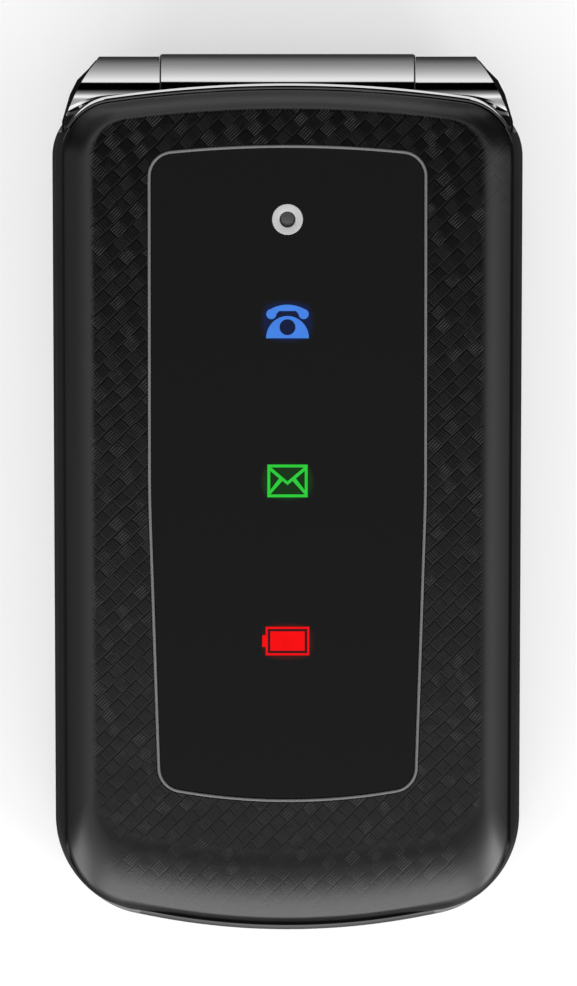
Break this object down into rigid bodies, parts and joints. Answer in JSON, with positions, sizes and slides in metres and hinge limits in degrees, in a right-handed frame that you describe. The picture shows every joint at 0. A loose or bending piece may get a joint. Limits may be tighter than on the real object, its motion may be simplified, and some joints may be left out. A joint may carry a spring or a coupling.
{
  "type": "flip phone",
  "caption": "Closed clamshell phone: black textured lid with a dark cover window, chrome barrel hinge, keypad and display inside, sliding battery cover.",
  "frame": {"origin": "bottom centre of the closed phone's bounding box, on the surface that it lies on", "axes": "+Z from the battery cover to the lid's outer face, +Y from the chin to the hinge, +X to the right seen from above"},
  "size_m": [0.0562, 0.105, 0.0194],
  "materials": {
    "black_shell": "satin",
    "dark_shell": "satin",
    "inner_shell": "gloss",
    "chrome": "polished",
    "trim_grey": "satin",
    "ring_silver": "satin",
    "window_glass": "gloss",
    "lens": "gloss",
    "call_blue": "lit mark",
    "message_green": "lit mark",
    "battery_red": "lit mark",
    "display": "gloss",
    "key_plastic": "satin",
    "call_key": "satin",
    "end_key": "satin",
    "nav_metal": "satin",
    "mat": "matt",
    "board": "lacquered",
    "battery_label": "satin",
    "contact_block": "matt",
    "steel": "bright",
    "speaker": "matt",
    "antenna_metal": "plain",
    "rubber": "matt",
    "flex": "gloss"
  },
  "bodies": {
    "keypad_half": {"rear_housing": "black_shell", "front_housing": "dark_shell", "chin_trim": "chrome", "hinge_lug_left": "chrome", "hinge_lug_right": "chrome", "main_board": "board", "keypad_mat": "mat", "battery": "battery_label", "battery_contacts": "contact_block", "sim_holder": "steel", "loudspeaker": "speaker", "microphone": "steel", "usb_port": "steel", "headset_jack": "contact_block", "vibration_motor": "steel", "antenna": "antenna_metal", "hinge_cam_head": "steel", "hinge_pivot_pin": "steel", "base_screws": "steel"},
    "battery_cover": {"battery_cover": "black_shell"},
    "flip": {"flip_outer_housing": "black_shell", "flip_inner_housing": "inner_shell", "hinge_barrel": "chrome", "flip_trim": "chrome", "cover_window": "window_glass", "window_trim": "trim_grey", "camera_ring": "ring_silver", "camera_lens": "lens", "camera_module": "contact_block", "call_indicator": "call_blue", "message_indicator": "message_green", "battery_indicator": "battery_red", "flip_board": "board", "display_module": "display", "display_window": "window_glass", "earpiece": "steel", "hinge_cartridge": "steel", "flip_bumpers": "rubber", "flip_screws": "steel", "flex_cable": "flex"},
    "key_1": {"key_1": "key_plastic"},
    "key_2": {"key_2": "key_plastic"},
    "key_3": {"key_3": "key_plastic"},
    "key_4": {"key_4": "key_plastic"},
    "key_5": {"key_5": "key_plastic"},
    "key_6": {"key_6": "key_plastic"},
    "key_7": {"key_7": "key_plastic"},
    "key_8": {"key_8": "key_plastic"},
    "key_9": {"key_9": "key_plastic"},
    "key_star": {"key_star": "key_plastic"},
    "key_0": {"key_0": "key_plastic"},
    "key_hash": {"key_hash": "key_plastic"},
    "soft_key_left": {"soft_key_left": "key_plastic"},
    "soft_key_right": {"soft_key_right": "key_plastic"},
    "call_key": {"call_key": "call_key"},
    "end_key": {"end_key": "end_key"},
    "nav_pad": {"nav_pad": "contact_block"},
    "nav_ring": {"nav_ring": "nav_metal"},
    "ok_key": {"ok_key": "key_plastic"},
    "volume_key": {"volume_key": "dark_shell"}
  },
  "joints": [
    {"name": "flip_hinge", "type": "hinge", "parent": "keypad_half", "child": "flip", "pos_m": [0, 0.0476, 0.0104], "axis": [-1, 0, 0], "range_deg": [0, 160]},
    {"name": "key_1_press", "type": "slide", "parent": "keypad_half", "child": "key_1", "axis": [0, 0, -1], "range_m": [0, 0.0003], "stiffness_N_per_m": 250},
    {"name": "key_2_press", "type": "slide", "parent": "keypad_half", "child": "key_2", "axis": [0, 0, -1], "range_m": [0, 0.0003], "stiffness_N_per_m": 250},
    {"name": "key_3_press", "type": "slide", "parent": "keypad_half", "child": "key_3", "axis": [0, 0, -1], "range_m": [0, 0.0003], "stiffness_N_per_m": 250},
    {"name": "key_4_press", "type": "slide", "parent": "keypad_half", "child": "key_4", "axis": [0, 0, -1], "range_m": [0, 0.0003], "stiffness_N_per_m": 250},
    {"name": "key_5_press", "type": "slide", "parent": "keypad_half", "child": "key_5", "axis": [0, 0, -1], "range_m": [0, 0.0003], "stiffness_N_per_m": 250},
    {"name": "key_6_press", "type": "slide", "parent": "keypad_half", "child": "key_6", "axis": [0, 0, -1], "range_m": [0, 0.0003], "stiffness_N_per_m": 250},
    {"name": "key_7_press", "type": "slide", "parent": "keypad_half", "child": "key_7", "axis": [0, 0, -1], "range_m": [0, 0.0003], "stiffness_N_per_m": 250},
    {"name": "key_8_press", "type": "slide", "parent": "keypad_half", "child": "key_8", "axis": [0, 0, -1], "range_m": [0, 0.0003], "stiffness_N_per_m": 250},
    {"name": "key_9_press", "type": "slide", "parent": "keypad_half", "child": "key_9", "axis": [0, 0, -1], "range_m": [0, 0.0003], "stiffness_N_per_m": 250},
    {"name": "key_star_press", "type": "slide", "parent": "keypad_half", "child": "key_star", "axis": [0, 0, -1], "range_m": [0, 0.0003], "stiffness_N_per_m": 250},
    {"name": "key_0_press", "type": "slide", "parent": "keypad_half", "child": "key_0", "axis": [0, 0, -1], "range_m": [0, 0.0003], "stiffness_N_per_m": 250},
    {"name": "key_hash_press", "type": "slide", "parent": "keypad_half", "child": "key_hash", "axis": [0, 0, -1], "range_m": [0, 0.0003], "stiffness_N_per_m": 250},
    {"name": "soft_key_left_press", "type": "slide", "parent": "keypad_half", "child": "soft_key_left", "axis": [0, 0, -1], "range_m": [0, 0.0003], "stiffness_N_per_m": 250},
    {"name": "soft_key_right_press", "type": "slide", "parent": "keypad_half", "child": "soft_key_right", "axis": [0, 0, -1], "range_m": [0, 0.0003], "stiffness_N_per_m": 250},
    {"name": "call_key_press", "type": "slide", "parent": "keypad_half", "child": "call_key", "axis": [0, 0, -1], "range_m": [0, 0.0003], "stiffness_N_per_m": 250},
    {"name": "end_key_press", "type": "slide", "parent": "keypad_half", "child": "end_key", "axis": [0, 0, -1], "range_m": [0, 0.0003], "stiffness_N_per_m": 250},
    {"name": "ok_key_press", "type": "slide", "parent": "keypad_half", "child": "ok_key", "axis": [0, 0, -1], "range_m": [0, 0.0003], "stiffness_N_per_m": 250},
    {"name": "nav_rock_up_down", "type": "hinge", "parent": "keypad_half", "child": "nav_pad", "pos_m": [0, 0.024, 0.0088], "axis": [1, 0, 0], "range_deg": [-1, 1], "stiffness_Nm_per_rad": 0.4},
    {"name": "nav_rock_left_right", "type": "hinge", "parent": "nav_pad", "child": "nav_ring", "pos_m": [0, 0.024, 0.0088], "axis": [0, 1, 0], "range_deg": [-1, 1], "stiffness_Nm_per_rad": 0.4},
    {"name": "volume_key_press", "type": "slide", "parent": "keypad_half", "child": "volume_key", "axis": [1, 0, 0], "range_m": [0, 0.0003], "stiffness_N_per_m": 250},
    {"name": "battery_cover_slide", "type": "slide", "parent": "keypad_half", "child": "battery_cover", "axis": [0, -1, 0], "range_m": [0, 0.07]}
  ]
}
